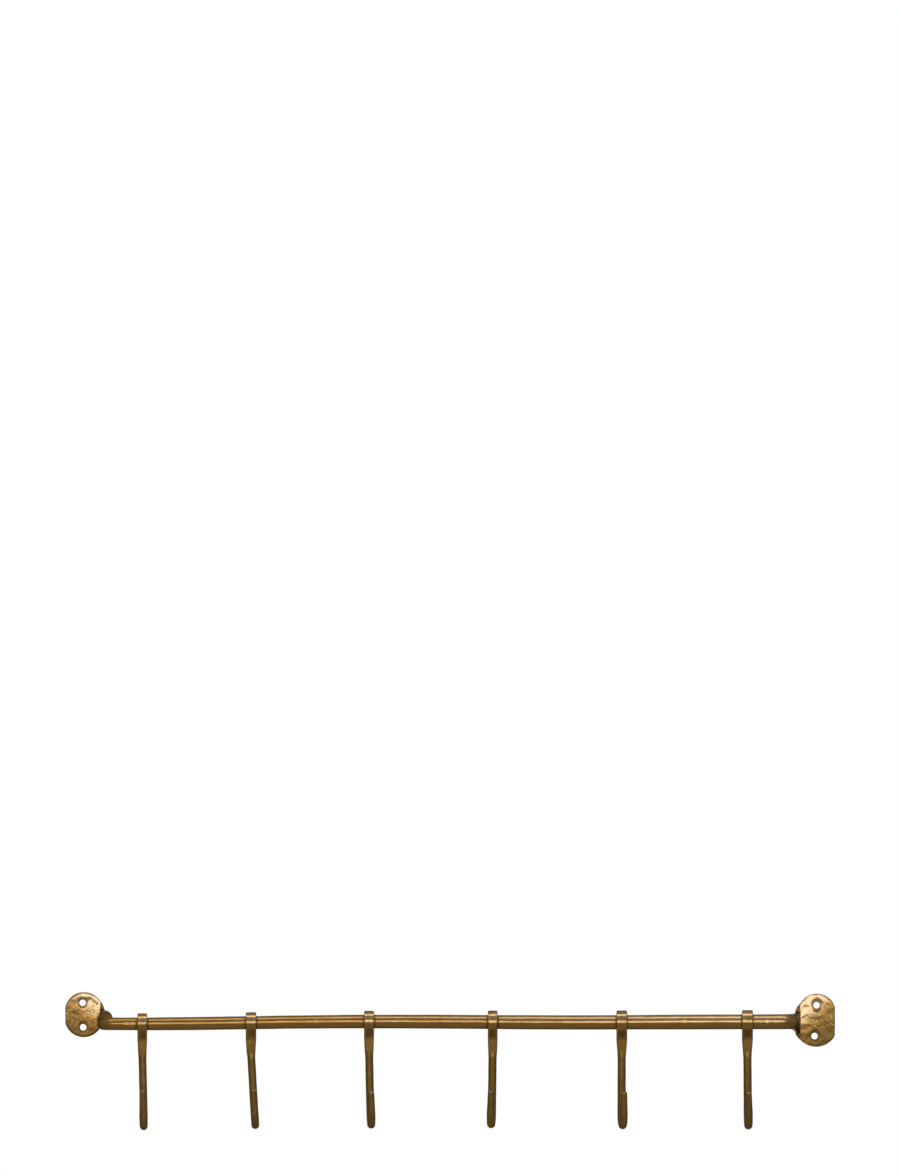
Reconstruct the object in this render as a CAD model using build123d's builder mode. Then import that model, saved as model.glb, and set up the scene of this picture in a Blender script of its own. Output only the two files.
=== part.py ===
"""Hook rack: one forged rail that stands off the wall, with six loose hooks hung on it.

Frame: the wall is the plane Y = 0 and the rack stands off it towards -Y, with +X to the
right and +Z up. The origin lies on the wall, midway between the left plate's screw holes.
Every size is in millimetres.
"""

from build123d import *
import os
from math import atan2, cos, degrees, radians, sin
from typing import NamedTuple

os.makedirs("parts", exist_ok=True)

# The rail as a whole
standoff = 40.0  # wall to the axis of the bar
elbow_radius = 10.0  # centre line of the turn between bar and leg
crease_radius = 1.0  # inside of the sharp bend between neck and plate
screw_hole = 5.2  # diameter
screw_rim = 1.0  # soft rim at the front of each screw hole
plate_corner = 5.0  # rounding of the outline at both ends of its straight outer side
plate_edge = 0.8  # rounding of the plate's front edge
crease_turns = (0, 45, 90)  # angles at which the bend between plate and neck is shaped


class NeckSection(NamedTuple):
    """A cross-section of the hammered neck, parallel to the wall."""

    depth: float  # distance from the wall
    plate_side: float  # x of the side towards the plate
    bar_side: float  # x of the side towards the bar
    top: float
    bottom: float
    corner: float  # rounding


class RailEnd(NamedTuple):
    """One end of the rail, where the bar turns back and is hammered out into a plate."""

    side: int  # -1 at the left, 1 at the right: the way that the plate points
    bar_diameter: float
    bar_z: float
    leg_x: float  # axis of the leg that runs back to the wall
    crease_x: float  # line where the plate starts
    thickness: float
    reach: float  # crease to the plate's outer side
    crown: float  # crease to the highest and lowest points of the outline
    top: float
    bottom: float
    crease_top: float
    crease_bottom: float
    neck_top: float  # where the bend ends and the neck starts
    neck_bottom: float
    neck: tuple
    flat_top: float  # ends of the straight outer side
    flat_bottom: float
    screws: tuple  # places of the upper and the lower screw hole, as (x, z)


left_end = RailEnd(
    side=-1,
    bar_diameter=9.9,
    bar_z=-6.3,
    leg_x=16.6,
    crease_x=14.1,
    thickness=3.0,
    reach=27.8,
    crown=14.0,
    top=18.0,
    bottom=-17.3,
    crease_top=11.6,
    crease_bottom=-10.8,
    neck_top=4.8,
    neck_bottom=-9.8,
    neck=(
        NeckSection(12.0, 13.3, 19.4, 4.0, -10.2, 1.6),
        NeckSection(21.0, 12.0, 23.2, 2.8, -10.9, 4.2),
    ),
    flat_top=6.3,
    flat_bottom=-6.5,
    screws=((-0.2, 9.5), (0.2, -9.5)),
)
right_end = RailEnd(
    side=1,
    bar_diameter=11.7,
    bar_z=-4.6,
    leg_x=551.8,
    crease_x=558.5,
    thickness=3.4,
    reach=27.8,
    crown=13.4,
    top=16.8,
    bottom=-24.8,
    crease_top=9.6,
    crease_bottom=-19.6,
    neck_top=3.1,
    neck_bottom=-14.3,
    neck=(
        NeckSection(13.4, 558.1, 553.6, 1.8, -12.2, 1.6),
        NeckSection(22.0, 557.8, 549.6, 1.4, -10.9, 3.6),
    ),
    flat_top=6.4,
    flat_bottom=-16.2,
    screws=((572.0, 7.6), (570.4, -16.4)),
)

# What all hooks share
loop_clearance = 0.3  # between the bar and the inside of each hook's loop
strap_edge = 0.9  # rounding along the strap's edges
tail_length = 10.1  # bar's axis down to the end of the tail
tail_rounding = ((1.8, 0.88), (2.8, 0.5))  # way past the full strap, and share of its width
slope_angle = 40.0  # how far the strap follows the bar round below its front
slope_length = 6.6
slope_bend = 6.0  # centre line of the turn from the slope down into the neck
strap_end = 23.0  # bar's axis down to the end of the flattened strap
step_length = 4.5  # from the flattened strap to the full round of the shank
mouth_radius = 10.0  # centre line of the turn at the bottom
mouth_flare = 6.0  # angle by which the tine leans away from the shank
tip_round = 0.35  # rounding of the tip, as a share of its diameter


class HookShape(NamedTuple):
    """One hook, with the unevenness that hand forging left in it."""

    name: str
    x: float
    bar_z: float  # height of the bar's axis there
    strap_width: float
    strap_thickness: float
    neck_width: float  # strap's width and thickness where it ends
    neck_thickness: float
    step: float  # how far the shank's front stands out before the strap's
    shank: float  # diameter
    tip: float  # diameter
    drop: float  # bar's axis down to the lowest point
    tine: float  # length of the straight tine
    lean: float  # angle by which the shank leans to the right
    twist: float  # angle by which the tine is turned to the right


hook_shapes = (
    HookShape("hook_1", 46.7, -6.3, 7.6, 3.0, 6.6, 5.4, 0.1, 6.2, 4.6, 82.4, 20.7, 1.3, -0.6),
    HookShape("hook_2", 131.3, -5.4, 8.2, 2.8, 6.9, 4.8, 0.5, 6.2, 4.7, 82.4, 20.5, 3.2, 1.2),
    HookShape("hook_3", 223.2, -4.5, 7.8, 2.9, 6.9, 5.4, 0.1, 6.3, 4.8, 82.9, 18.5, 1.2, 2.6),
    HookShape("hook_4", 319.4, -4.9, 7.6, 3.3, 6.9, 5.0, 0.4, 6.5, 4.9, 82.1, 19.1, -0.7, -2.4),
    HookShape("hook_5", 419.9, -5.1, 8.4, 3.4, 7.0, 5.2, 0.3, 6.5, 4.9, 82.7, 18.9, -0.2, 4.4),
    HookShape("hook_6", 517.7, -4.7, 8.6, 3.1, 7.1, 4.8, 0.6, 6.5, 4.8, 83.3, 19.1, 0.4, 1.6),
)

# Between the two elbows
bar_start = left_end.leg_x + elbow_radius
bar_end = right_end.leg_x - elbow_radius


def bar_diameter_at(x: float) -> float:
    """Diameter of the bar at x. It tapers evenly from its right end to its left end."""
    share = (x - bar_start) / (bar_end - bar_start)
    return left_end.bar_diameter + share * (right_end.bar_diameter - left_end.bar_diameter)


def forged_end(end: RailEnd) -> Part:
    """One end of the rail: plate, crease, neck that swells to a round leg, and elbow."""
    leg_front = standoff - elbow_radius
    plate_x = end.crease_x + end.side * crease_radius
    outer_x = end.crease_x + end.side * end.reach
    crown_x = end.crease_x + end.side * end.crown
    # Front view, drawn on the wall with X to the right and Z up
    front_view = Plane(origin=(0, 0, 0), x_dir=(1, 0, 0), z_dir=(0, -1, 0))

    with BuildPart() as forged:
        with BuildSketch(front_view) as outline:
            with BuildLine():
                top_start = (plate_x, end.crease_top)
                bottom_start = (plate_x, end.crease_bottom)
                flat_top = (outer_x, end.flat_top)
                flat_bottom = (outer_x, end.flat_bottom)
                ThreePointArc(top_start, (crown_x, end.top), flat_top)
                Line(flat_top, flat_bottom)
                ThreePointArc(flat_bottom, (crown_x, end.bottom), bottom_start)
                Line(bottom_start, top_start)
            make_face()
            outer_corners = outline.vertices().sort_by(Axis.X, reverse=end.side > 0)[:2]
            fillet(outer_corners, radius=plate_corner)
        extrude(amount=end.thickness)
        front_edges = forged.faces().sort_by(Axis.Y)[0].edges()
        crease = front_edges.sort_by(Axis.X, reverse=end.side < 0)[0]
        free_edges = front_edges.filter_by(lambda edge: not edge.is_same(crease))
        fillet(free_edges, radius=plate_edge)
        for screw in end.screws:
            with Locations(Plane((screw[0], -end.thickness, screw[1]), (1, 0, 0), (0, -1, 0))):
                Hole(radius=screw_hole / 2)
        rims = forged.faces().sort_by(Axis.Y)[0].edges().filter_by(GeomType.CIRCLE)
        fillet(rims.filter_by(lambda rim: rim.radius < screw_hole), radius=screw_rim)

        # The bend narrows as it turns back, because the outline already draws in to the neck
        neck_front = end.thickness + crease_radius
        bend_centre = (plate_x, -neck_front, 0)
        for turn in crease_turns:
            share = turn / crease_turns[-1]
            top = end.crease_top * (1 - share) + end.neck_top * share
            bottom = end.crease_bottom * (1 - share) + end.neck_bottom * share
            across = (-end.side * sin(radians(turn)), cos(radians(turn)), 0)
            onward = (-end.side * cos(radians(turn)), -sin(radians(turn)), 0)
            with BuildSketch(Plane(bend_centre, across, onward)):
                with Locations((crease_radius + end.thickness / 2, -end.side * (top + bottom) / 2)):
                    Rectangle(end.thickness, top - bottom)
        loft()

        neck_x = end.crease_x - end.side * end.thickness / 2
        with BuildSketch(front_view.offset(neck_front)):
            with Locations((neck_x, (end.neck_top + end.neck_bottom) / 2)):
                Rectangle(end.thickness, end.neck_top - end.neck_bottom)
        for section in end.neck:
            middle = ((section.plate_side + section.bar_side) / 2, (section.top + section.bottom) / 2)
            thickness = abs(section.bar_side - section.plate_side)
            with BuildSketch(front_view.offset(section.depth)):
                with Locations(middle):
                    RectangleRounded(thickness, section.top - section.bottom, section.corner)
        leg_centre = (end.leg_x, -leg_front, end.bar_z)
        with BuildSketch(Plane(leg_centre, (-end.side, 0, 0), (0, -1, 0))) as leg_section:
            Circle(end.bar_diameter / 2)
        loft()

        elbow_centre = (end.leg_x - end.side * elbow_radius, -leg_front, 0)
        elbow_axis = Axis(elbow_centre, (0, 0, -end.side))
        revolve(leg_section.sketch, axis=elbow_axis, revolution_arc=90)
    return forged.part


def strap_section(plane: Plane, width: float, thickness: float, share: float = 1) -> Sketch:
    """Cross-section of a hook's flattened strap, or that share of it at its rounded end."""
    with BuildSketch(plane) as section:
        RectangleRounded(width * share, thickness * share, strap_edge * share)
    return section.sketch


def round_section(plane: Plane, diameter: float) -> Sketch:
    """Cross-section of a hook's round rod."""
    with BuildSketch(plane) as section:
        Circle(diameter / 2)
    return section.sketch


def forged_hook(shape: HookShape) -> Part:
    """One hook: tail, loop over the bar, strap, round shank, mouth and tine."""
    centre = Vector(shape.x, -standoff, shape.bar_z)
    loop_inside = bar_diameter_at(shape.x) / 2 + loop_clearance
    loop_radius = loop_inside + shape.strap_thickness / 2
    tail_y = tail_rounding[-1][0] - tail_length
    # Side view through the bar's axis, with the front to the right and Z up
    side_view = Plane(origin=centre, x_dir=(0, -1, 0), z_dir=(-1, 0, 0))
    across = (1, 0, 0)

    with BuildLine() as strap_line:
        tail = Line((-loop_radius, tail_y), (-loop_radius, 0))
        loop = CenterArc((0, 0), loop_radius, 180, -180 - slope_angle)
        slope = PolarLine(loop @ 1, slope_length, direction=loop % 1)
        turn = JernArc(slope @ 1, slope % 1, slope_bend, slope_angle)
    strap_path = strap_line.wires()[0].moved(side_view.location)
    # The strap thickens towards the back, so its front runs straight down to the step
    strap_front = (turn @ 1).X + shape.strap_thickness / 2
    neck_way = strap_front - shape.neck_thickness / 2
    rod_way = strap_front + shape.step - shape.shank / 2
    neck_end = side_view.from_local_coords(Vector(neck_way, -strap_end))
    rod_start = side_view.from_local_coords(Vector(rod_way, -strap_end))

    # The rod leans from the end of the strap, and its tine is turned to one side
    rod_view = Plane(rod_start, side_view.x_dir, side_view.z_dir)
    rod_view = rod_view.rotated((0, -shape.lean, shape.twist))
    shank_bottom = strap_end + mouth_radius + shape.shank / 2 - shape.drop
    with BuildLine() as rod_line:
        shank = Line((0, -step_length), (0, shank_bottom))
        JernArc(shank @ 1, shank % 1, mouth_radius, 180 - mouth_flare)
    rod_path = rod_line.wires()[0].moved(rod_view.location)

    with BuildPart() as forged:
        # The strap over the bar, then the rounded end of its tail
        strap = (shape.strap_width, shape.strap_thickness)
        tail_plane = Plane(strap_path @ 0, across, strap_path % 0)
        tail_sections = [strap_section(tail_plane, *strap)]
        sweep(tail_sections[0], path=strap_path)
        for way, share in tail_rounding:
            tail_sections.append(strap_section(tail_plane.offset(-way), *strap, share))
        loft(tail_sections)

        # The strap narrows, then steps up to the full round of the shank
        neck_start = strap_section(Plane(strap_path @ 1, across, strap_path % 1), *strap)
        neck_plane = Plane(neck_end, across, strap_path % 1)
        neck = strap_section(neck_plane, shape.neck_width, shape.neck_thickness)
        shank_start = round_section(Plane(rod_path @ 0, across, rod_path % 0), shape.shank)
        loft([neck_start, neck])
        loft([neck, shank_start])
        sweep(shank_start, path=rod_path)

        # The tine tapers to a rounded tip
        tine_plane = Plane(rod_path @ 1, across, rod_path % 1)
        tip_plane = tine_plane.offset(shape.tine)
        tine_start = round_section(tine_plane, shape.shank)
        loft([tine_start, round_section(tip_plane, shape.tip)])
        rims = forged.edges().filter_by(GeomType.CIRCLE)
        fillet(rims.sort_by_distance(tip_plane.origin)[0], radius=shape.tip * tip_round)

    # Left to itself, the hook swings until its weight is under the bar's axis
    weight = forged.part.center(CenterOf.MASS) - centre
    hanging = degrees(atan2(-weight.Y, -weight.Z))
    return forged.part.rotate(Axis(centre, (1, 0, 0)), hanging)


with BuildPart() as rail:
    # The bar bows a little and tapers, so it is drawn through a section at each hook
    stations = [(bar_start, left_end.bar_z)]
    stations += [(shape.x, shape.bar_z) for shape in hook_shapes]
    stations += [(bar_end, right_end.bar_z)]
    for station_x, station_z in stations:
        with BuildSketch(Plane((station_x, -standoff, station_z), (0, 1, 0), (1, 0, 0))):
            Circle(bar_diameter_at(station_x) / 2)
    loft()
    for end in (left_end, right_end):
        add(forged_end(end))
rail.part.label = "rail"
export_step(rail.part, "parts/rail.step")

for shape in hook_shapes:
    with BuildPart() as hook:
        add(forged_hook(shape))
    hook.part.label = shape.name
    export_step(hook.part, f"parts/{shape.name}.step")
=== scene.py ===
"""Hook rack in antique brass: a forged rail with two screw plates and six hanging hooks."""

import logging
import math
from dataclasses import dataclass
from enum import Enum

import bpy
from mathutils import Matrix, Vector, noise


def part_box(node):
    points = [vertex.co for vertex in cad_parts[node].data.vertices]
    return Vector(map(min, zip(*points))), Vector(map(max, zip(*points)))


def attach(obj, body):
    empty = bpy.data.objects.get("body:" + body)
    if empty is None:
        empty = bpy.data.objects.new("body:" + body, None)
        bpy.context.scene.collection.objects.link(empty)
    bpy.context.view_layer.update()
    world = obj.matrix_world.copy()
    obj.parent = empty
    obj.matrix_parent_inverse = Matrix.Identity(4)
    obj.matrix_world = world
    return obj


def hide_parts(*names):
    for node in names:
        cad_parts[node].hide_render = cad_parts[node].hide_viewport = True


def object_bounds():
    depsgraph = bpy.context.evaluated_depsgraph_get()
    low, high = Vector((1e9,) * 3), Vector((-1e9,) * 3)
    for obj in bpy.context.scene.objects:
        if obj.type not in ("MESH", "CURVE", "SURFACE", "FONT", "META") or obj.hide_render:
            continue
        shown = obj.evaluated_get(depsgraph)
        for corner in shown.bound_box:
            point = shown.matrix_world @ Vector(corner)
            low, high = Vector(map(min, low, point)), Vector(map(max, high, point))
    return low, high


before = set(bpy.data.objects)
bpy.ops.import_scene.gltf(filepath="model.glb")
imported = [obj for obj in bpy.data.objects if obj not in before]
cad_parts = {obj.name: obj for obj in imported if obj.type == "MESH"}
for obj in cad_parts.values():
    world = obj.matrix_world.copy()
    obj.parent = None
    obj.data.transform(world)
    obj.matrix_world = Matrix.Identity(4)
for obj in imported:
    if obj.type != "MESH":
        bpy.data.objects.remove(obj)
cad_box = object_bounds()

log = logging.getLogger("hook_rack")

HOOK_COUNT = 6
NOISE_MIDDLE = 0.5

# The photograph's frame, and where the rack's origin lies in it
PHOTO_WIDTH = 900
PHOTO_HEIGHT = 1176
ORIGIN_PIXEL = (82.6, 1015.4)
METRES_PER_PIXEL = 0.000779


class Region(Enum):
    """The stretches of the rail, each with its own forging marks."""

    PLATE = "plate"
    NECK = "neck"
    BAR = "bar"


def ramp(value: float, low: float, high: float) -> float:
    """Rises smoothly from 0 at low to 1 at high, or falls where low is the larger.

    Args:
        value: The measure to judge.
        low: Where the ramp is 0.
        high: Where the ramp is 1.

    Returns:
        A share from 0 to 1.
    """
    share = min(1.0, max(0.0, (value - low) / (high - low)))
    return share * share * (3.0 - 2.0 * share)


@dataclass(frozen=True)
class Fade:
    """A strength that grows while a measure runs from its start to where it is full."""

    start: float
    full: float
    strength: float = 1.0

    def at(self, measure: float) -> float:
        """The strength at a measure, from 0 to the full strength."""
        return self.strength * ramp(measure, self.start, self.full)


class Wire:
    """A shader socket that takes part in Python expressions."""

    def __init__(self, bench: "Bench", socket: bpy.types.NodeSocket) -> None:
        """Wraps a node's output socket."""
        self.bench = bench
        self.socket = socket

    def maths(self, operation: str, first: object, second: object = None) -> "Wire":
        """Adds a Math node.

        Args:
            operation: The Math node's operation.
            first: A wire or a number.
            second: A wire or a number, if the operation takes two.

        Returns:
            The node's result.
        """
        values = {0: first} if second is None else {0: first, 1: second}
        node = self.bench.node("ShaderNodeMath", {"operation": operation}, values)
        return Wire(self.bench, node.outputs[0])

    def __add__(self, other: object) -> "Wire":
        """Sum with a wire or a number."""
        return self.maths("ADD", self, other)

    def __mul__(self, other: object) -> "Wire":
        """Product with a wire or a number."""
        return self.maths("MULTIPLY", self, other)

    def __sub__(self, other: object) -> "Wire":
        """Difference from a wire or a number."""
        return self.maths("SUBTRACT", self, other)

    def __rsub__(self, other: object) -> "Wire":
        """Difference of a number from this wire."""
        return self.maths("SUBTRACT", other, self)

    def larger(self, other: object) -> "Wire":
        """The larger of this wire and a wire or a number."""
        return self.maths("MAXIMUM", self, other)

    def band(self, low: float, high: float) -> "Wire":
        """Rises smoothly from 0 at low to 1 at high, or falls where low is the larger.

        Args:
            low: Where the band is 0.
            high: Where the band is 1.

        Returns:
            A share from 0 to 1.
        """
        settings = {"interpolation_type": "SMOOTHSTEP"}
        values = {"Value": self, "From Min": low, "From Max": high}
        node = self.bench.node("ShaderNodeMapRange", settings, values)
        return Wire(self.bench, node.outputs["Result"])


class Bench:
    """A node tree under work."""

    def __init__(self, tree: bpy.types.NodeTree) -> None:
        """Empties the tree."""
        self.tree = tree
        tree.nodes.clear()

    def node(self, kind: str, settings: dict, values: dict) -> bpy.types.Node:
        """Adds a node.

        Args:
            kind: The node's type.
            settings: Its own properties, which are set first.
            values: Numbers, colours or wires for its inputs, by name or place.

        Returns:
            The node.
        """
        node = self.tree.nodes.new(kind)
        for name, value in settings.items():
            setattr(node, name, value)
        for name, value in values.items():
            if isinstance(value, Wire):
                self.tree.links.new(value.socket, node.inputs[name])
            else:
                node.inputs[name].default_value = value
        return node

    def wire(self, kind: str, settings: dict, values: dict, output: str) -> Wire:
        """Adds a node and wraps one of its outputs.

        Args:
            kind: The node's type.
            settings: Its own properties, which are set first.
            values: Numbers, colours or wires for its inputs, by name or place.
            output: The name of the output.

        Returns:
            The wrapped output.
        """
        return Wire(self, self.node(kind, settings, values).outputs[output])

    def mix(self, share: Wire, first: object, second: object) -> Wire:
        """Mixes two colours.

        Args:
            share: How much of the second colour shows, from 0 to 1.
            first: A colour or a wire.
            second: A colour or a wire.

        Returns:
            The mixed colour.
        """
        node = self.tree.nodes.new("ShaderNodeMix")
        node.data_type = "RGBA"
        sockets = [socket for socket in node.inputs if socket.enabled]
        for socket, value in zip(sockets, (share, first, second)):
            if isinstance(value, Wire):
                self.tree.links.new(value.socket, socket)
            else:
                socket.default_value = value
        result = [socket for socket in node.outputs if socket.enabled][0]
        return Wire(self, result)

    def noise(self, place: Wire, scale: float, detail: float, roughness: float = 0.6) -> Wire:
        """Adds soft noise.

        Args:
            place: Where the noise is read.
            scale: Its features per metre.
            detail: How many finer layers it has.
            roughness: How strong the finer layers are.

        Returns:
            The noise, from 0 to 1.
        """
        values = {"Vector": place, "Scale": scale, "Detail": detail, "Roughness": roughness}
        return self.wire("ShaderNodeTexNoise", {}, values, "Fac")

    def seen_rays(self) -> Wire:
        """Tells the rays that show things from those that only light them.

        Returns:
            1 where a ray comes from the camera, a mirror or glass, and 0 elsewhere.
        """
        rays = self.node("ShaderNodeLightPath", {}, {})
        seen = Wire(self, rays.outputs["Is Camera Ray"])
        for ray in ("Is Glossy Ray", "Is Transmission Ray"):
            seen = seen.larger(Wire(self, rays.outputs[ray]))
        return seen

    def pits(self, place: Wire, scale: float) -> Wire:
        """Distance to the nearest of many scattered points, from 0 upwards."""
        values = {"Vector": place, "Scale": scale}
        return self.wire("ShaderNodeTexVoronoi", {}, values, "Distance")


@dataclass(frozen=True)
class AntiqueBrass:
    """Brass with a dark colour for tarnish and painted shade, and a paler colour for wear and
    painted highlights.

    Colours are linear red, green, blue and alpha. Two mesh attributes say where the dark and the
    pale colour are strong, and the streaks run the way that the metal was drawn. Scales are in
    features per metre, bands give where a mask is 0 and where it is 1, and the values from
    patina_cloud on are weights of clouds, streaks, specks and grain.
    """

    name: str
    streaks: tuple
    body: tuple = (0.139, 0.0725, 0.017, 1.0)
    # Paler colour: worn brass, and also painted highlights
    wear_and_sheen: tuple = (0.24, 0.173, 0.098, 1.0)
    # Dark colour: tarnish, and also painted shade
    patina_and_shade: tuple = (0.078, 0.045, 0.012, 1.0)
    edge_tint: tuple = (0.45, 0.44, 0.43, 1.0)
    roughness: float = 0.21
    lacquer: float = 0.02
    lacquer_roughness: float = 0.2
    relief: float = 0.00003
    relief_strength: float = 0.35
    cloud_scale: float = 110.0
    streak_scale: float = 900.0
    grain_scale: float = 700.0
    speck_scale: float = 520.0
    speck_band: tuple = (0.17, 0.06)
    cluster_band: tuple = (0.5, 0.62)
    patina_band: tuple = (0.12, 1.0)
    rubbed_band: tuple = (0.05, 1.0)
    patina_cloud: float = 0.9
    patina_streak: float = 0.7
    rubbed_cloud: float = 0.4
    rubbed_streak: float = 1.1
    rubbed_gloss: float = 0.12
    patina_dull: float = 0.12
    dark_dull: float = 0.03
    grain_dull: float = 0.03
    streak_height: float = 0.25
    grain_height: float = 0.15
    speck_dark: float = 0.25
    speck_depth: float = 1.2

    def build(self) -> bpy.types.Material:
        """Makes the material.

        Returns:
            The material, with its colour, roughness and relief from nodes.
        """
        material = bpy.data.materials.new(self.name)
        material.use_nodes = True
        bench = Bench(material.node_tree)
        place = bench.wire("ShaderNodeTexCoord", {}, {}, "Object")
        drawn_values = {"Vector": place, "Scale": self.streaks}
        drawn = bench.wire("ShaderNodeMapping", {}, drawn_values, "Vector")
        # Masks: the dark one carries tarnish and painted shade, the pale one wear and painted
        # highlights
        patina_and_shade = bench.wire("ShaderNodeAttribute", {"attribute_name": "patina_and_shade"}, {}, "Fac")
        wear_and_sheen = bench.wire("ShaderNodeAttribute", {"attribute_name": "wear_and_sheen"}, {}, "Fac")

        cloud = bench.noise(place, self.cloud_scale, detail=3.0)
        streak = bench.noise(drawn, self.streak_scale, detail=3.0)
        grain = bench.noise(place, self.grain_scale, detail=2.0)
        specks = bench.pits(place, self.speck_scale).band(*self.speck_band)
        specks = specks * cloud.band(*self.cluster_band)

        clouding = cloud - NOISE_MIDDLE
        streaking = streak - NOISE_MIDDLE
        dark = patina_and_shade + clouding * self.patina_cloud + streaking * self.patina_streak
        dark = dark.band(*self.patina_band).larger(specks * self.speck_dark)
        bright = wear_and_sheen + streaking * self.rubbed_streak + clouding * self.rubbed_cloud
        bright = bright.band(*self.rubbed_band)
        colour = bench.mix(bright, self.body, self.wear_and_sheen)
        colour = bench.mix(dark, colour, self.patina_and_shade)

        roughness = self.roughness - wear_and_sheen * self.rubbed_gloss + patina_and_shade * self.patina_dull
        roughness = roughness + dark * self.dark_dull + grain * self.grain_dull
        height = streak * self.streak_height + grain * self.grain_height
        height = height - specks * self.speck_depth
        bump_values = {"Strength": self.relief_strength, "Distance": self.relief, "Height": height}
        bump = bench.wire("ShaderNodeBump", {}, bump_values, "Normal")
        values = {
            "Base Color": colour,
            "Metallic": 1.0,
            "Roughness": roughness,
            "Normal": bump,
            "Specular Tint": self.edge_tint,
            "Coat Weight": self.lacquer,
            "Coat Roughness": self.lacquer_roughness,
        }
        shader = bench.wire("ShaderNodeBsdfPrincipled", {}, values, "BSDF")
        bench.node("ShaderNodeOutputMaterial", {}, {"Surface": shader})
        return material


@dataclass(frozen=True)
class Waver:
    """Soft unevenness that hammering leaves, drawn out along an axis by its stretch.

    Each octave of its noise is finer than the last by the step, and the fall says how much lower.
    """

    spacing: float
    height: float
    stretch: tuple = (1.0, 1.0, 1.0)
    fall: float = 1.0
    step: float = 2.0
    octaves: int = 3

    def at(self, place: Vector) -> float:
        """How far the surface stands out at a place."""
        steps = [along / (self.spacing * way) for along, way in zip(place, self.stretch)]
        return self.height * noise.fractal(Vector(steps), self.fall, self.step, self.octaves)


@dataclass(frozen=True)
class HammerFaces:
    """Shallow round hollows, one beside the other, from the face of the hammer.

    The steepness says how soon a hollow rises to its edge.
    """

    spacing: float
    depth: float
    steepness: float = 2.0

    def at(self, place: Vector) -> float:
        """How far the surface lies back at a place, as a negative number."""
        nearest = noise.voronoi(place / self.spacing)[0][0]
        return -self.depth * (1.0 - min(1.0, nearest * nearest * self.steepness))


@dataclass(frozen=True)
class Pits:
    """Scattered small pits, where scale came off the hot metal."""

    spacing: float
    depth: float
    reach: float

    def at(self, place: Vector) -> float:
        """How far the surface lies back at a place, as a negative number."""
        return -self.depth * self.share(place)

    def share(self, place: Vector) -> float:
        """1 at the bottom of a pit, falling to 0 at its rim and beyond."""
        nearest = noise.voronoi(place / self.spacing)[0][0]
        return ramp(nearest, self.reach, 0.0)


@dataclass(frozen=True)
class Nick:
    """One dent that shows in the photograph by itself."""

    place: tuple
    reach: float
    depth: float

    def at(self, place: Vector) -> float:
        """How far the surface lies back at a place, as a negative number."""
        return -self.depth * ramp((place - Vector(self.place)).length, self.reach, 0.0)


def select_only(piece: bpy.types.Object) -> None:
    """Selects one object and makes it the active one.

    Args:
        piece: The piece under work.
    """
    bpy.ops.object.select_all(action="DESELECT")
    piece.select_set(True)
    bpy.context.view_layer.objects.active = piece


def apply_modifiers(piece: bpy.types.Object) -> None:
    """Applies every modifier of a piece, in order.

    Args:
        piece: The piece under work.
    """
    select_only(piece)
    for modifier in list(piece.modifiers):
        bpy.ops.object.modifier_apply(modifier=modifier.name)


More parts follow.
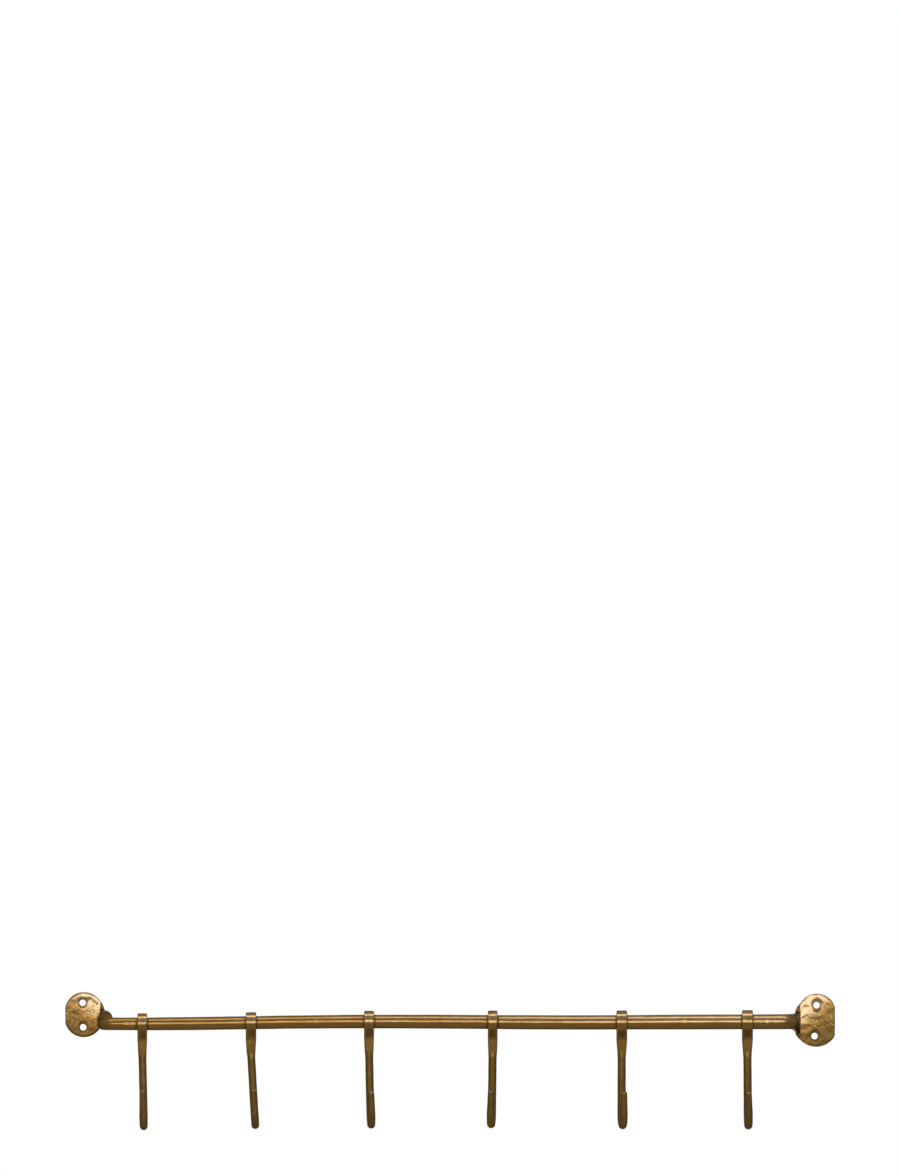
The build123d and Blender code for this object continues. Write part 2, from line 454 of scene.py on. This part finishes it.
@dataclass
class ForgedPiece:
    """A forging whose skin is worked over the solid that it stands for.

    The fade of the painted shade on undersides goes by how far the surface faces down.
    """

    node: str
    finish: AntiqueBrass
    slot: str
    grid: float = 0.00035
    smoothing: int = 6
    merge_distance: float = 0.000001
    # Painted shade: darker the further the surface faces down
    underside_shade: Fade = Fade(0.5, 0.95, 0.75)

    def relief(self, place: Vector, normal: Vector) -> float:
        """How far the forged skin stands out before the smooth solid.

        Args:
            place: A point of the skin, in metres.
            normal: The way that the skin faces there.

        Returns:
            The height in metres, negative where the skin lies back.
        """
        return 0.0

    def patina_and_shade(self, place: Vector, normal: Vector) -> float:
        """How much of the dark colour shows: here painted shade, more the further the surface
        faces down.

        Args:
            place: A point of the skin, in metres.
            normal: The way that the skin faces there.

        Returns:
            The patina, from 0 to 1.
        """
        return self.underside_shade.at(-normal.z)

    def wear_and_sheen(self, place: Vector, normal: Vector) -> float:
        """How much of the paler colour shows, for wear and painted highlights.

        Args:
            place: A point of the skin, in metres.
            normal: The way that the skin faces there.

        Returns:
            The brightness, from 0 to 1.
        """
        return 0.0

    def skin(self) -> bpy.types.Object:
        """Copies the solid's mesh and gives it an even grid of faces.

        Returns:
            The piece, at the origin.
        """
        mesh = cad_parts[self.node].data.copy()
        mesh.materials.clear()
        piece = bpy.data.objects.new(f"{self.node}_forged", mesh)
        bpy.context.scene.collection.objects.link(piece)
        select_only(piece)
        bpy.ops.object.mode_set(mode="EDIT")
        bpy.ops.mesh.select_all(action="SELECT")
        bpy.ops.mesh.remove_doubles(threshold=self.merge_distance)
        bpy.ops.object.mode_set(mode="OBJECT")
        remesh = piece.modifiers.new("grid", "REMESH")
        remesh.mode = "VOXEL"
        remesh.voxel_size = self.grid
        even = piece.modifiers.new("even", "SMOOTH")
        even.iterations = self.smoothing
        apply_modifiers(piece)
        return piece

    def even(self, piece: bpy.types.Object) -> None:
        """Smooths a stretch of the skin further, where the piece calls for it.

        Args:
            piece: The piece under work.
        """

    def refine(self, piece: bpy.types.Object) -> None:
        """Divides faces where the skin needs more detail.

        Args:
            piece: The piece under work.
        """

    def work(self, piece: bpy.types.Object) -> None:
        """Moves the skin by its relief, and keeps it inside the solid's own box.

        Args:
            piece: The piece under work.
        """
        low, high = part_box(self.node)
        moved = []
        for vertex in piece.data.vertices:
            place = vertex.co + vertex.normal * self.relief(vertex.co, vertex.normal)
            moved += [min(max(place[axis], low[axis]), high[axis]) for axis in range(3)]
        piece.data.vertices.foreach_set("co", moved)
        piece.data.update()

    def stain(self, piece: bpy.types.Object) -> None:
        """Stores, at each point of the skin, how much shows of the dark colour, for tarnish and
        painted shade, and of the pale colour, for wear and painted highlights.

        Args:
            piece: The piece under work.
        """
        for name, amount in (("patina_and_shade", self.patina_and_shade), ("wear_and_sheen", self.wear_and_sheen)):
            values = [amount(vertex.co, vertex.normal) for vertex in piece.data.vertices]
            attribute = piece.data.attributes.new(name, "FLOAT", "POINT")
            attribute.data.foreach_set("value", values)

    def build(self) -> bpy.types.Object:
        """Makes, marks and dresses the piece.

        Returns:
            The finished piece, which stands in for its solid.
        """
        piece = self.skin()
        self.even(piece)
        self.refine(piece)
        self.work(piece)
        self.stain(piece)
        select_only(piece)
        bpy.ops.object.shade_smooth()
        piece.data.materials.append(self.finish.build())
        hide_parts(self.node)
        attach(piece, self.node)
        log.info("%s: %d faces", piece.name, len(piece.data.polygons))
        return piece


@dataclass(frozen=True)
class Plate:
    """One screw plate: where it lies, and the way in which its painted shade darkens it."""

    middle: tuple
    screws: tuple
    darkens: tuple
    dish: float
    reach: float = 0.016

    def shade(self, place: Vector) -> float:
        """Finds how far a place lies along the way in which the plate's painted shade darkens it.

        Args:
            place: A point of the skin, in metres.

        Returns:
            A number from -1, at the brightest edge, to 1.
        """
        away = (place.x - self.middle[0], place.z - self.middle[1])
        along = away[0] * self.darkens[0] + away[1] * self.darkens[1]
        return max(-1.0, min(1.0, along / self.reach))

    def screw_distance(self, place: Vector) -> float:
        """Distance to the axis of the nearer screw hole."""
        return min(math.hypot(place.x - x, place.z - z) for x, z in self.screws)


@dataclass
class Rail(ForgedPiece):
    """The bar with its two elbows, flattened necks and screw plates."""

    grid: float = 0.00064

    # Depths out of the wall, and places along it
    wall_film: float = 0.0008
    plate_front: float = 0.006
    left_crease: float = 0.0141
    right_crease: float = 0.5585
    bar_depth: float = 0.030
    bar_start: Fade = Fade(0.027, 0.034)
    neck_start: Fade = Fade(0.002, 0.008)
    hook_places: tuple = (0.0467, 0.1313, 0.2232, 0.3194, 0.4199, 0.5177)
    left_plate: Plate = Plate(
        middle=(0.0, 0.0),
        screws=((-0.0002, 0.0095), (0.0002, -0.0095)),
        darkens=(-0.6, -0.8),
        dish=0.0002,
    )
    right_plate: Plate = Plate(
        middle=(0.5725, -0.004),
        screws=((0.572, 0.0076), (0.5704, -0.0164)),
        darkens=(0.65, -0.76),
        dish=0.0004,
    )

    # The skin's shape
    bar_smoothing: int = 24
    smoothing_loss: float = 0.00017
    plate_dome: float = 0.9
    bar_waver: Waver = Waver(spacing=0.016, height=0.0001, stretch=(3.0, 1.0, 1.0))
    neck_waver: Waver = Waver(spacing=0.007, height=0.00034)
    plate_waver: Waver = Waver(spacing=0.011, height=0.00026)
    hammer_faces: HammerFaces = HammerFaces(spacing=0.0062, depth=0.0001)
    scale_pits: Pits = Pits(spacing=0.0022, depth=0.0001, reach=0.5)
    pitted_across: Fade = Fade(0.0105, 0.004)
    pitted_from_screw: Fade = Fade(0.003, 0.0045)
    front_slope: float = 0.5
    front_facing: Fade = Fade(0.55, 0.98)
    screw_dish: Fade = Fade(0.0062, 0.0026)

    # Tarnish, wear, painted shade, painted highlights and darkening round the screws, by distance
    # from a screw or hook, by place or by facing
    # Painted glints in the plates' pits
    pit_glint_strength: float = 0.75
    # Darker ring round each screw hole
    screw_rim: Fade = Fade(0.0052, 0.003, 0.8)
    # Painted shade on the plates' edges and sides, which turn away from the front
    plate_side_shade: Fade = Fade(0.75, 0.3, 0.5)
    plate_least_patina: float = 0.3
    # Painted shade across each plate, growing towards its lower outer corner
    plate_painted_shade: Fade = Fade(-0.5, 0.9, 0.65)
    # Painted highlight across each plate, strongest at its upper inner corner
    plate_painted_highlight: Fade = Fade(0.2, -0.9, 0.9)
    # Painted shade that dims the bar's highlights as the bar turns into the bends at its ends
    left_elbow_shade: Fade = Fade(0.029, 0.015, 0.6)
    right_elbow_shade: Fade = Fade(0.540, 0.554, 0.6)
    # Painted shadow on the bar beside each hook's loop
    hook_shadow: Fade = Fade(0.0062, 0.0045, 0.9)
    # Paler brass along the bar, growing to the right, is wear and painted highlight together; it
    # is kept to the upper and front faces as a painted highlight
    bar_least_wear_and_sheen: float = 0.22
    bar_wear_and_sheen: Fade = Fade(0.1, 0.5, 0.33)
    bar_top_sheen: Fade = Fade(-0.25, 0.1)

    # Dents that show by themselves in the photograph
    nicks: tuple = (
        Nick((0.0345, -0.0451, -0.0056), 0.0018, 0.0003),
        Nick((0.0372, -0.0450, -0.0064), 0.0013, 0.0002),
        Nick((0.0398, -0.0451, -0.0056), 0.0015, 0.00025),
        Nick((0.1822, -0.0458, -0.0040), 0.0016, 0.00022),
        Nick((0.4690, -0.0459, -0.0040), 0.0016, 0.00022),
        Nick((0.5330, -0.0459, -0.0042), 0.0015, 0.00022),
    )

    def region(self, place: Vector) -> Region:
        """Finds the stretch of the rail that a place lies in.

        Args:
            place: A point of the skin, in metres.

        Returns:
            The stretch.
        """
        beyond_crease = place.x < self.left_crease or place.x > self.right_crease
        if beyond_crease and place.y > -self.plate_front:
            return Region.PLATE
        return Region.NECK if place.y > -self.bar_depth else Region.BAR

    def plate_at(self, place: Vector) -> Plate:
        """The plate that a place is nearer to."""
        return self.left_plate if place.x < self.right_plate.middle[0] / 2 else self.right_plate

    def bar_share(self, place: Vector) -> float:
        """1 on the bar, falling to 0 where the elbows turn back to the wall."""
        return self.bar_start.at(-place.y)

    def even(self, piece: bpy.types.Object) -> None:
        """Takes the flats out of the round bar.

        Args:
            piece: The piece under work.
        """
        group = piece.vertex_groups.new(name="bar")
        for vertex in piece.data.vertices:
            group.add([vertex.index], self.bar_share(vertex.co), "REPLACE")
        round_off = piece.modifiers.new("round_off", "SMOOTH")
        round_off.iterations = self.bar_smoothing
        round_off.vertex_group = group.name
        apply_modifiers(piece)
        piece.vertex_groups.clear()

    def refine(self, piece: bpy.types.Object) -> None:
        """Divides the plates' front faces once more, for their pits.

        Args:
            piece: The piece under work.
        """
        select_only(piece)
        bpy.ops.object.mode_set(mode="EDIT")
        bpy.ops.mesh.select_all(action="DESELECT")
        bpy.ops.object.mode_set(mode="OBJECT")
        for face in piece.data.polygons:
            on_plate = self.region(face.center) is Region.PLATE
            in_front = face.center.y < -self.wall_film and -face.normal.y > self.front_slope
            face.select = on_plate and in_front
        bpy.ops.object.mode_set(mode="EDIT")
        bpy.ops.mesh.subdivide(number_cuts=1)
        bpy.ops.object.mode_set(mode="OBJECT")

    def relief(self, place: Vector, normal: Vector) -> float:
        """How far the skin stands out. The plates' backs stay flat on the wall.

        Args:
            place: A point of the skin, in metres.
            normal: The way that the skin faces there.

        Returns:
            The height in metres, negative where the skin lies back.
        """
        if place.y > -self.wall_film:
            return 0.0
        region = self.region(place)
        if region is Region.BAR:
            height = self.smoothing_loss * self.bar_share(place) + self.bar_waver.at(place)
            return height + sum(nick.at(place) for nick in self.nicks)
        if region is Region.NECK:
            return self.neck_waver.at(place) * self.neck_start.at(-place.y)
        plate = self.plate_at(place)
        across = abs(place.z - plate.middle[1])
        height = self.plate_waver.at(place) + self.hammer_faces.at(place)
        height -= self.plate_dome * across * across
        height -= plate.dish * self.screw_dish.at(plate.screw_distance(place))
        height += self.pitted(place) * self.scale_pits.at(place)
        return self.front_facing.at(-normal.y) * height

    def pitted(self, place: Vector) -> float:
        """How much of the pits shows on a plate: all across its middle, none at its screws.

        Args:
            place: A point of the skin, in metres.

        Returns:
            A share from 0 to 1.
        """
        plate = self.plate_at(place)
        across = abs(place.z - plate.middle[1])
        clear_of_screw = self.pitted_from_screw.at(plate.screw_distance(place))
        return self.pitted_across.at(across) * clear_of_screw

    def pit_glint(self, place: Vector) -> float:
        """Painted glint in a pit on a plate, from 0 to 1: paler colour there, and less of the dark
        one.
        """
        return self.pit_glint_strength * self.pitted(place) * self.scale_pits.share(place)

    def patina_and_shade(self, place: Vector, normal: Vector) -> float:
        """How much of the dark colour shows: tarnish and a darker ring round each screw on the
        plates, and painted shade on undersides, plate sides and plate corners, at the bends and
        beside each hook.

        Args:
            place: A point of the skin, in metres.
            normal: The way that the skin faces there.

        Returns:
            The patina, from 0 to 1.
        """
        under = super().patina_and_shade(place, normal)
        region = self.region(place)
        if region is Region.PLATE:
            plate = self.plate_at(place)
            rim = self.screw_rim.at(plate.screw_distance(place))
            # Painted shade where the plate turns away from the front
            side = self.plate_side_shade.at(-normal.y)
            # Painted shade across the plate, over an even share of tarnish
            face = self.plate_least_patina + self.plate_painted_shade.at(plate.shade(place))
            # Less of the dark colour where a pit has a painted glint
            return max(under, rim, side, face * (1.0 - self.pit_glint(place)))
        # Painted shade towards the bends at the bar's ends
        elbow_shade = max(self.left_elbow_shade.at(place.x), self.right_elbow_shade.at(place.x))
        if region is Region.NECK:
            return max(under, elbow_shade)
        # Painted shadow on the bar beside each hook
        nearest_hook_distance = min(abs(place.x - x) for x in self.hook_places)
        return max(under, elbow_shade, self.hook_shadow.at(nearest_hook_distance))

    def wear_and_sheen(self, place: Vector, normal: Vector) -> float:
        """How much of the paler colour shows: painted highlights on the plates and on the bar's
        upper and front faces, painted glints in pits, and wear that grows along the bar.

        Args:
            place: A point of the skin, in metres.
            normal: The way that the skin faces there.

        Returns:
            The brightness, from 0 to 1.
        """
        region = self.region(place)
        if region is Region.PLATE:
            # Painted highlight across the plate
            worn = self.plate_painted_highlight.at(self.plate_at(place).shade(place))
            # Painted glints in the pits
            return max(worn, self.pit_glint(place))
        if region is Region.NECK:
            return 0.0
        # Wear and painted highlight along the bar, only on faces that look up or to the front
        bar_wear_sheen_share = self.bar_least_wear_and_sheen + self.bar_wear_and_sheen.at(place.x)
        return bar_wear_sheen_share * self.bar_top_sheen.at(normal.z)


@dataclass
class Hook(ForgedPiece):
    """One hook: strap over the bar, round shank, mouth and tine.

    Its fades go by the height over the bar's axis, whose mean height serves all six hooks, and
    the painted highlight on the tine's end goes by the surface's tilt.
    """

    bar_z: float = -0.005
    # Darker below the loop and more so down the shank, paler on the loop
    strap_darkening: Fade = Fade(-0.004, -0.012, 0.36)
    shank_darkening: Fade = Fade(-0.013, -0.019, 0.3)
    loop_paling: Fade = Fade(-0.0028, 0.001, 0.5)
    below_loop: Fade = Fade(-0.044, -0.048)
    # Painted highlight on the tine's end, where it faces up
    tine_highlight: Fade = Fade(-0.059, -0.056, 0.9)
    upward_sheen: Fade = Fade(0.05, 0.5)
    waver: Waver = Waver(spacing=0.007, height=0.00008, stretch=(1.0, 1.0, 2.0))

    def relief(self, place: Vector, normal: Vector) -> float:
        """How far the forged skin stands out before the smooth solid."""
        return self.waver.at(place)

    def patina_and_shade(self, place: Vector, normal: Vector) -> float:
        """How much of the dark colour shows: more below the loop and more again down the shank,
        and painted shade on undersides.

        Args:
            place: A point of the skin, in metres.
            normal: The way that the skin faces there.

        Returns:
            The patina, from 0 to 1.
        """
        height = place.z - self.bar_z
        left = self.strap_darkening.at(height) + self.shank_darkening.at(height)
        return max(super().patina_and_shade(place, normal), left)

    def wear_and_sheen(self, place: Vector, normal: Vector) -> float:
        """How much of the paler colour shows: on the loop, and as a painted highlight on the
        upward faces of the tine's end.

        Args:
            place: A point of the skin, in metres.
            normal: The way that the skin faces there.

        Returns:
            The brightness, from 0 to 1.
        """
        height = place.z - self.bar_z
        # Painted highlight on the upward faces of the tine's end
        tine_sheen = self.tine_highlight.at(height) * self.below_loop.at(height)
        return max(self.loop_paling.at(height), tine_sheen * self.upward_sheen.at(normal.z))


@dataclass(frozen=True)
class Softbox:
    """A large soft lamp that faces the rack."""

    name: str
    width: float
    height: float
    place: tuple
    radiance: float

    def hang(self, target: Vector) -> None:
        """Makes the lamp and turns it to the rack.

        Args:
            target: The point that it faces.
        """
        data = bpy.data.lights.new(self.name, "AREA")
        data.shape = "RECTANGLE"
        data.size = self.width
        data.size_y = self.height
        data.energy = self.radiance * math.pi * self.width * self.height
        lamp = bpy.data.objects.new(self.name, data)
        lamp.location = self.place
        lamp.rotation_euler = (target - Vector(self.place)).to_track_quat("-Z", "Y").to_euler()
        lamp.visible_camera = False
        bpy.context.scene.collection.objects.link(lamp)


@dataclass
class Studio:
    """Floor, white surround, soft lamps and camera."""

    floor_level: float = -1.0
    floor_size: float = 40.0
    floor_colour: tuple = (0.8, 0.8, 0.79, 1.0)
    floor_roughness: float = 0.9
    floor_glow: float = 0.8
    fill: float = 0.2
    camera_distance: float = 23.0
    rack_middle: float = 0.02
    far_clip: float = 100.0
    lamps: tuple = (
        Softbox("front_softbox", width=3.6, height=0.72, place=(0.29, -2.2, 0.25), radiance=4.25),
        Softbox("top_softbox", width=2.6, height=0.64, place=(0.29, -0.4, 1.5), radiance=3.8),
    )

    def lay_floor(self) -> None:
        """Lays a plain pale floor well below the rack."""
        place = (0.0, 0.0, self.floor_level)
        bpy.ops.mesh.primitive_plane_add(size=self.floor_size, location=place)
        floor = bpy.context.object
        floor.name = "floor"
        bpy.ops.object.transform_apply()
        material = bpy.data.materials.new("pale_floor")
        material.use_nodes = True
        bench = Bench(material.node_tree)
        values = {"Base Color": self.floor_colour, "Roughness": self.floor_roughness}
        matt = bench.wire("ShaderNodeBsdfPrincipled", {}, values, "BSDF")
        white = bench.wire("ShaderNodeEmission", {}, {"Strength": 1.0}, "Emission")
        share = bench.seen_rays() * self.floor_glow
        shader = bench.wire("ShaderNodeMixShader", {}, {0: share, 1: matt, 2: white}, "Shader")
        bench.node("ShaderNodeOutputMaterial", {}, {"Surface": shader})
        floor.data.materials.append(material)

    def surround(self) -> None:
        """Makes the world white where it is seen, and a soft fill elsewhere."""
        world = bpy.data.worlds.new("studio")
        bpy.context.scene.world = world
        world.use_nodes = True
        bench = Bench(world.node_tree)
        strength = bench.seen_rays() * (1.0 - self.fill) + self.fill
        values = {"Color": (1.0, 1.0, 1.0, 1.0), "Strength": strength}
        light = bench.wire("ShaderNodeBackground", {}, values, "Background")
        bench.node("ShaderNodeOutputWorld", {}, {"Surface": light})

    def place_camera(self) -> None:
        """Sets a far, level camera whose picture has the photograph's framing."""
        data = bpy.data.cameras.new("camera")
        camera = bpy.data.objects.new("camera", data)
        bpy.context.scene.collection.objects.link(camera)
        across = (PHOTO_WIDTH / 2 - ORIGIN_PIXEL[0]) * METRES_PER_PIXEL
        up = (ORIGIN_PIXEL[1] - PHOTO_HEIGHT / 2) * METRES_PER_PIXEL
        camera.location = (across, -self.camera_distance, up)
        camera.rotation_euler = (math.pi / 2, 0.0, 0.0)
        picture_height = PHOTO_HEIGHT * METRES_PER_PIXEL
        middle_distance = self.camera_distance - self.rack_middle
        # The sensor's width spans the longer side of the picture, which is its height
        data.lens = data.sensor_width * middle_distance / picture_height
        data.clip_end = self.far_clip
        bpy.context.scene.camera = camera

    def build(self) -> None:
        """Builds the studio."""
        self.lay_floor()
        self.surround()
        target = (cad_box[0] + cad_box[1]) / 2
        for lamp in self.lamps:
            lamp.hang(target)
        self.place_camera()


def main() -> None:
    """Builds the rack and its studio."""
    logging.basicConfig(level=logging.INFO)
    bpy.context.scene.view_settings.view_transform = "Standard"
    rail_brass = AntiqueBrass("rail_brass", streaks=(0.08, 1.0, 1.0))
    Rail("rail", rail_brass, "rail_brass").build()
    for number in range(1, HOOK_COUNT + 1):
        name = f"hook_{number}"
        finish = AntiqueBrass(f"{name}_brass", streaks=(1.0, 1.0, 0.15))
        Hook(name, finish, "hook_brass").build()
    Studio().build()


if __name__ == "__main__":
    main()
